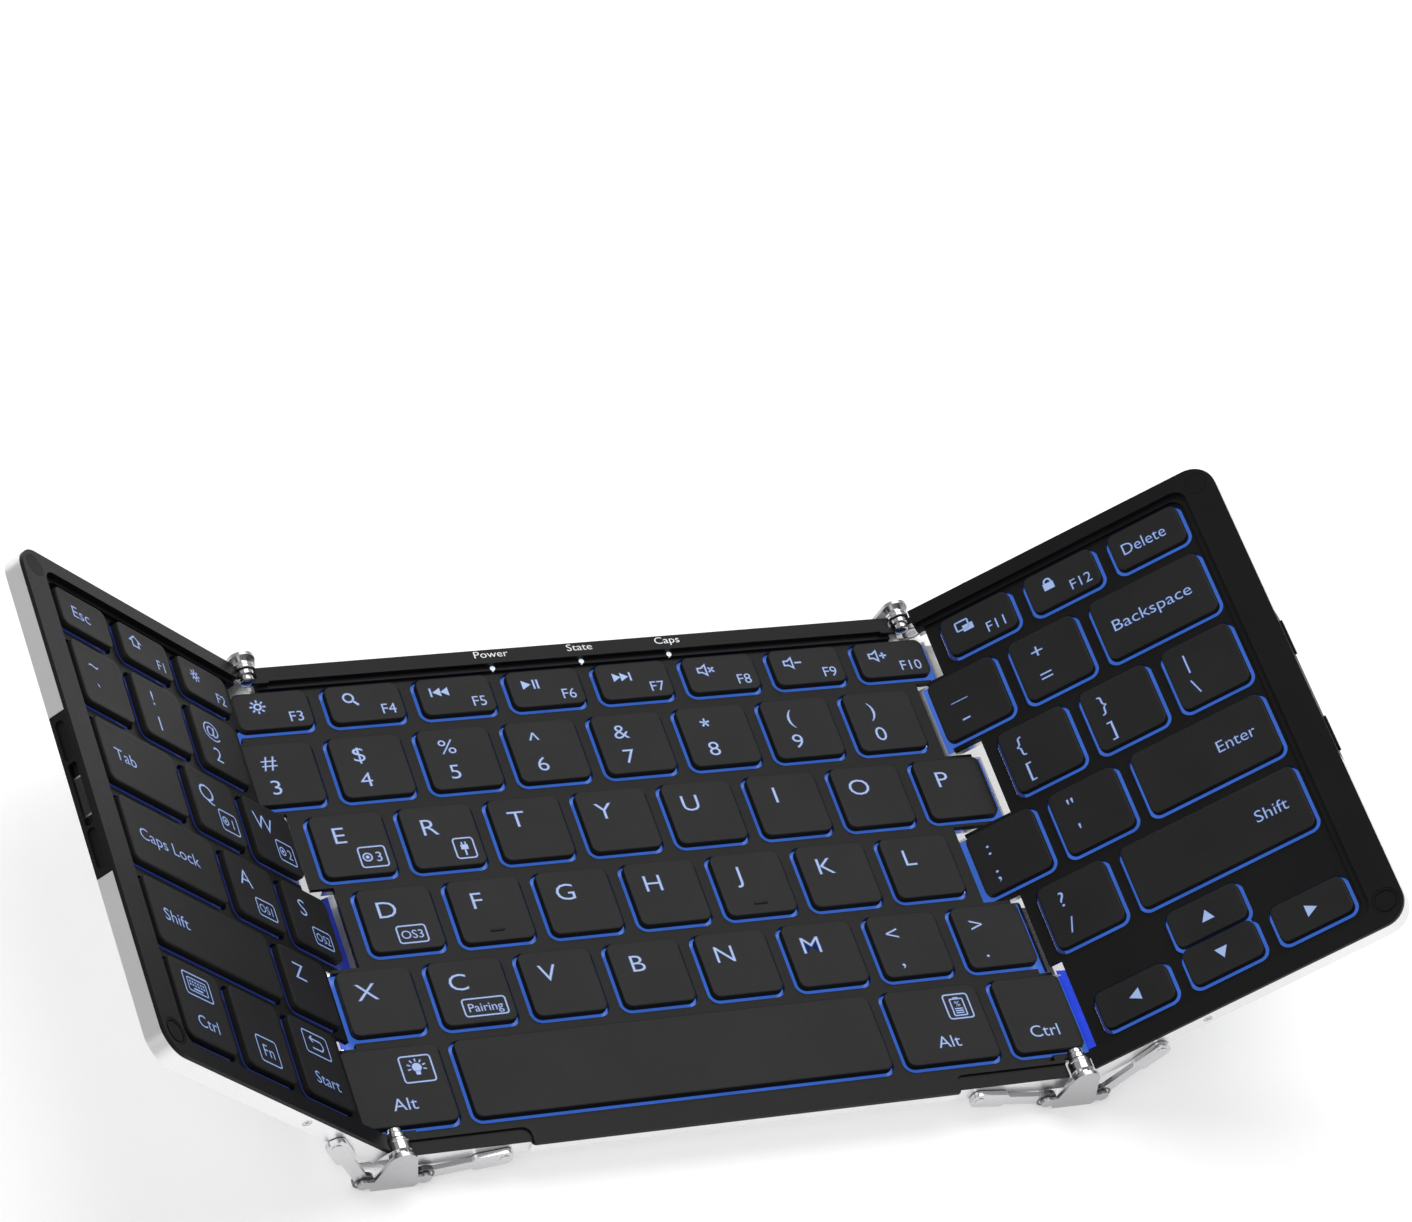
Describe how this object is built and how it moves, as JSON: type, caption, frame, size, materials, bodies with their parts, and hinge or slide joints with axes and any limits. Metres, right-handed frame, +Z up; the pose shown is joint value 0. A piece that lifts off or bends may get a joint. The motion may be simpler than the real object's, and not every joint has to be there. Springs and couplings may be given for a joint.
{
  "type": "folding keyboard",
  "caption": "Backlit keyboard in three stepped panels; both wings fold over the centre on four metal hinge feet, shown with the wings half raised.",
  "frame": {"origin": "middle of the footprint, on the surface that the hinge feet stand on", "axes": "+X to the right end of the keyboard, +Y to the function row at the back, +Z up"},
  "size_m": [0.264, 0.1202, 0.0556],
  "materials": {
    "anodised_aluminium": "fine satin",
    "black_frame": "fine texture",
    "lit_guide": "clear, lit from within",
    "membrane_film": "smooth film",
    "support_steel": "satin",
    "key_plastic": "fine texture",
    "lamp": "clear",
    "ribbon_film": "film",
    "board": "coated",
    "battery_foil": "foil",
    "black_rubber": "matte",
    "polished_steel": "polished",
    "hinge_metal": "satin silver"
  },
  "bodies": {
    "centre": {"centre_shell": "anodised_aluminium", "centre_frame": "black_frame", "centre_light_guide": "lit_guide", "centre_membrane": "membrane_film", "centre_support": "support_steel", "centre_ribbon": "ribbon_film", "status_lamps": "lamp", "hinge_pins": "polished_steel"},
    "left_wing": {"left_shell": "anodised_aluminium", "left_frame": "black_frame", "left_light_guide": "lit_guide", "left_membrane": "membrane_film", "left_support": "support_steel", "left_edge_insert": "black_rubber", "left_corner_pads": "black_rubber", "left_screws": "polished_steel", "main_board": "board", "charging_port": "support_steel"},
    "right_wing": {"right_shell": "anodised_aluminium", "right_frame": "black_frame", "right_light_guide": "lit_guide", "right_membrane": "membrane_film", "right_support": "support_steel", "right_edge_insert": "black_rubber", "right_corner_pads": "black_rubber", "right_screws": "polished_steel", "battery": "battery_foil"},
    "left_function_keys_body": {"left_function_keys": "key_plastic"},
    "left_number_keys_body": {"left_number_keys": "key_plastic"},
    "left_upper_keys_body": {"left_upper_keys": "key_plastic"},
    "left_home_keys_body": {"left_home_keys": "key_plastic"},
    "left_lower_keys_body": {"left_lower_keys": "key_plastic"},
    "left_bottom_keys_body": {"left_bottom_keys": "key_plastic"},
    "centre_function_keys_body": {"centre_function_keys": "key_plastic"},
    "centre_number_keys_body": {"centre_number_keys": "key_plastic"},
    "centre_upper_keys_body": {"centre_upper_keys": "key_plastic"},
    "centre_home_keys_body": {"centre_home_keys": "key_plastic"},
    "centre_lower_keys_body": {"centre_lower_keys": "key_plastic"},
    "centre_bottom_keys_body": {"centre_bottom_keys": "key_plastic"},
    "space_bar_body": {"space_bar": "key_plastic"},
    "right_function_keys_body": {"right_function_keys": "key_plastic"},
    "right_number_keys_body": {"right_number_keys": "key_plastic"},
    "right_upper_keys_body": {"right_upper_keys": "key_plastic"},
    "right_home_keys_body": {"right_home_keys": "key_plastic"},
    "right_lower_keys_body": {"right_lower_keys": "key_plastic"},
    "right_arrow_keys_body": {"right_arrow_keys": "key_plastic"},
    "front_left_bracket_body": {"front_left_bracket": "hinge_metal"},
    "front_right_bracket_body": {"front_right_bracket": "hinge_metal"},
    "back_left_bracket_body": {"back_left_bracket": "hinge_metal"},
    "back_right_bracket_body": {"back_right_bracket": "hinge_metal"},
    "front_left_centre_lever_body": {"front_left_centre_lever": "hinge_metal"},
    "front_right_centre_lever_body": {"front_right_centre_lever": "hinge_metal"},
    "back_left_centre_lever_body": {"back_left_centre_lever": "hinge_metal"},
    "back_right_centre_lever_body": {"back_right_centre_lever": "hinge_metal"},
    "front_left_wing_lever_body": {"front_left_wing_lever": "hinge_metal"},
    "front_right_wing_lever_body": {"front_right_wing_lever": "hinge_metal"},
    "back_left_wing_lever_body": {"back_left_wing_lever": "hinge_metal"},
    "back_right_wing_lever_body": {"back_right_wing_lever": "hinge_metal"}
  },
  "joints": [
    {"name": "left_fold", "type": "hinge", "parent": "centre", "child": "left_wing", "pos_m": [-0.073, 0, 0.009], "axis": [0, 1, 0], "range_deg": [-40, 140]},
    {"name": "front_left_bracket_turn", "type": "hinge", "parent": "centre", "child": "front_left_bracket_body", "pos_m": [-0.073, -0.058, 0.009], "axis": [0, 1, 0], "range_deg": [-20.5, 70.5]},
    {"name": "front_left_wing_lever_turn", "type": "hinge", "parent": "front_left_bracket_body", "child": "front_left_wing_lever_body", "pos_m": [-0.0792, -0.058, 0.0022], "axis": [0, 1, 0], "range_deg": [-16, 54.6]},
    {"name": "front_left_centre_lever_turn", "type": "hinge", "parent": "front_left_bracket_body", "child": "front_left_centre_lever_body", "pos_m": [-0.0668, -0.058, 0.0022], "axis": [0, 1, 0], "range_deg": [-80.6, 23.5]},
    {"name": "back_left_bracket_turn", "type": "hinge", "parent": "centre", "child": "back_left_bracket_body", "pos_m": [-0.073, 0.058, 0.009], "axis": [0, 1, 0], "range_deg": [-20.5, 70.5]},
    {"name": "back_left_wing_lever_turn", "type": "hinge", "parent": "back_left_bracket_body", "child": "back_left_wing_lever_body", "pos_m": [-0.0792, 0.058, 0.0022], "axis": [0, 1, 0], "range_deg": [-16, 54.6]},
    {"name": "back_left_centre_lever_turn", "type": "hinge", "parent": "back_left_bracket_body", "child": "back_left_centre_lever_body", "pos_m": [-0.0668, 0.058, 0.0022], "axis": [0, 1, 0], "range_deg": [-80.6, 23.5]},
    {"name": "right_fold", "type": "hinge", "parent": "centre", "child": "right_wing", "pos_m": [0.073, 0, 0.009], "axis": [0, -1, 0], "range_deg": [-40, 140]},
    {"name": "front_right_bracket_turn", "type": "hinge", "parent": "centre", "child": "front_right_bracket_body", "pos_m": [0.073, -0.058, 0.009], "axis": [0, -1, 0], "range_deg": [-20.5, 70.5]},
    {"name": "front_right_wing_lever_turn", "type": "hinge", "parent": "front_right_bracket_body", "child": "front_right_wing_lever_body", "pos_m": [0.0792, -0.058, 0.0022], "axis": [0, -1, 0], "range_deg": [-16, 54.6]},
    {"name": "front_right_centre_lever_turn", "type": "hinge", "parent": "front_right_bracket_body", "child": "front_right_centre_lever_body", "pos_m": [0.0668, -0.058, 0.0022], "axis": [0, -1, 0], "range_deg": [-80.6, 23.5]},
    {"name": "back_right_bracket_turn", "type": "hinge", "parent": "centre", "child": "back_right_bracket_body", "pos_m": [0.073, 0.058, 0.009], "axis": [0, -1, 0], "range_deg": [-20.5, 70.5]},
    {"name": "back_right_wing_lever_turn", "type": "hinge", "parent": "back_right_bracket_body", "child": "back_right_wing_lever_body", "pos_m": [0.0792, 0.058, 0.0022], "axis": [0, -1, 0], "range_deg": [-16, 54.6]},
    {"name": "back_right_centre_lever_turn", "type": "hinge", "parent": "back_right_bracket_body", "child": "back_right_centre_lever_body", "pos_m": [0.0668, 0.058, 0.0022], "axis": [0, -1, 0], "range_deg": [-80.6, 23.5]},
    {"name": "left_function_keys_press", "type": "slide", "parent": "left_wing", "child": "left_function_keys_body", "axis": [-0.6428, 0, -0.766], "range_m": [0, 0.0011], "stiffness_N_per_m": 2000, "springref_m": -0.0002},
    {"name": "left_number_keys_press", "type": "slide", "parent": "left_wing", "child": "left_number_keys_body", "axis": [-0.6428, 0, -0.766], "range_m": [0, 0.0011], "stiffness_N_per_m": 2000, "springref_m": -0.0002},
    {"name": "left_upper_keys_press", "type": "slide", "parent": "left_wing", "child": "left_upper_keys_body", "axis": [-0.6428, 0, -0.766], "range_m": [0, 0.0011], "stiffness_N_per_m": 2000, "springref_m": -0.0002},
    {"name": "left_home_keys_press", "type": "slide", "parent": "left_wing", "child": "left_home_keys_body", "axis": [-0.6428, 0, -0.766], "range_m": [0, 0.0011], "stiffness_N_per_m": 2000, "springref_m": -0.0002},
    {"name": "left_lower_keys_press", "type": "slide", "parent": "left_wing", "child": "left_lower_keys_body", "axis": [-0.6428, 0, -0.766], "range_m": [0, 0.0011], "stiffness_N_per_m": 2000, "springref_m": -0.0002},
    {"name": "left_bottom_keys_press", "type": "slide", "parent": "left_wing", "child": "left_bottom_keys_body", "axis": [-0.6428, 0, -0.766], "range_m": [0, 0.0011], "stiffness_N_per_m": 2000, "springref_m": -0.0002},
    {"name": "centre_function_keys_press", "type": "slide", "parent": "centre", "child": "centre_function_keys_body", "axis": [0, 0, -1], "range_m": [0, 0.0011], "stiffness_N_per_m": 2000, "springref_m": -0.0002},
    {"name": "centre_number_keys_press", "type": "slide", "parent": "centre", "child": "centre_number_keys_body", "axis": [0, 0, -1], "range_m": [0, 0.0011], "stiffness_N_per_m": 2000, "springref_m": -0.0002},
    {"name": "centre_upper_keys_press", "type": "slide", "parent": "centre", "child": "centre_upper_keys_body", "axis": [0, 0, -1], "range_m": [0, 0.0011], "stiffness_N_per_m": 2000, "springref_m": -0.0002},
    {"name": "centre_home_keys_press", "type": "slide", "parent": "centre", "child": "centre_home_keys_body", "axis": [0, 0, -1], "range_m": [0, 0.0011], "stiffness_N_per_m": 2000, "springref_m": -0.0002},
    {"name": "centre_lower_keys_press", "type": "slide", "parent": "centre", "child": "centre_lower_keys_body", "axis": [0, 0, -1], "range_m": [0, 0.0011], "stiffness_N_per_m": 2000, "springref_m": -0.0002},
    {"name": "centre_bottom_keys_press", "type": "slide", "parent": "centre", "child": "centre_bottom_keys_body", "axis": [0, 0, -1], "range_m": [0, 0.0011], "stiffness_N_per_m": 2000, "springref_m": -0.0002},
    {"name": "space_bar_press", "type": "slide", "parent": "centre", "child": "space_bar_body", "axis": [0, 0, -1], "range_m": [0, 0.0011], "stiffness_N_per_m": 2000, "springref_m": -0.0002},
    {"name": "right_function_keys_press", "type": "slide", "parent": "right_wing", "child": "right_function_keys_body", "axis": [0.6428, 0, -0.766], "range_m": [0, 0.0011], "stiffness_N_per_m": 2000, "springref_m": -0.0002},
    {"name": "right_number_keys_press", "type": "slide", "parent": "right_wing", "child": "right_number_keys_body", "axis": [0.6428, 0, -0.766], "range_m": [0, 0.0011], "stiffness_N_per_m": 2000, "springref_m": -0.0002},
    {"name": "right_upper_keys_press", "type": "slide", "parent": "right_wing", "child": "right_upper_keys_body", "axis": [0.6428, 0, -0.766], "range_m": [0, 0.0011], "stiffness_N_per_m": 2000, "springref_m": -0.0002},
    {"name": "right_home_keys_press", "type": "slide", "parent": "right_wing", "child": "right_home_keys_body", "axis": [0.6428, 0, -0.766], "range_m": [0, 0.0011], "stiffness_N_per_m": 2000, "springref_m": -0.0002},
    {"name": "right_lower_keys_press", "type": "slide", "parent": "right_wing", "child": "right_lower_keys_body", "axis": [0.6428, 0, -0.766], "range_m": [0, 0.0011], "stiffness_N_per_m": 2000, "springref_m": -0.0002},
    {"name": "right_arrow_keys_press", "type": "slide", "parent": "right_wing", "child": "right_arrow_keys_body", "axis": [0.6428, 0, -0.766], "range_m": [0, 0.0011], "stiffness_N_per_m": 2000, "springref_m": -0.0002}
  ],
  "couplings": [
    {"joint": "front_left_bracket_turn", "follows": "left_fold", "ratio": 0.5},
    {"joint": "front_left_wing_lever_turn", "follows": "left_fold", "ratio": 0.386},
    {"joint": "front_left_centre_lever_turn", "follows": "left_fold", "ratio": -0.572},
    {"joint": "back_left_bracket_turn", "follows": "left_fold", "ratio": 0.5},
    {"joint": "back_left_wing_lever_turn", "follows": "left_fold", "ratio": 0.386},
    {"joint": "back_left_centre_lever_turn", "follows": "left_fold", "ratio": -0.572},
    {"joint": "front_right_bracket_turn", "follows": "right_fold", "ratio": 0.5},
    {"joint": "front_right_wing_lever_turn", "follows": "right_fold", "ratio": 0.386},
    {"joint": "front_right_centre_lever_turn", "follows": "right_fold", "ratio": -0.572},
    {"joint": "back_right_bracket_turn", "follows": "right_fold", "ratio": 0.5},
    {"joint": "back_right_wing_lever_turn", "follows": "right_fold", "ratio": 0.386},
    {"joint": "back_right_centre_lever_turn", "follows": "right_fold", "ratio": -0.572}
  ]
}
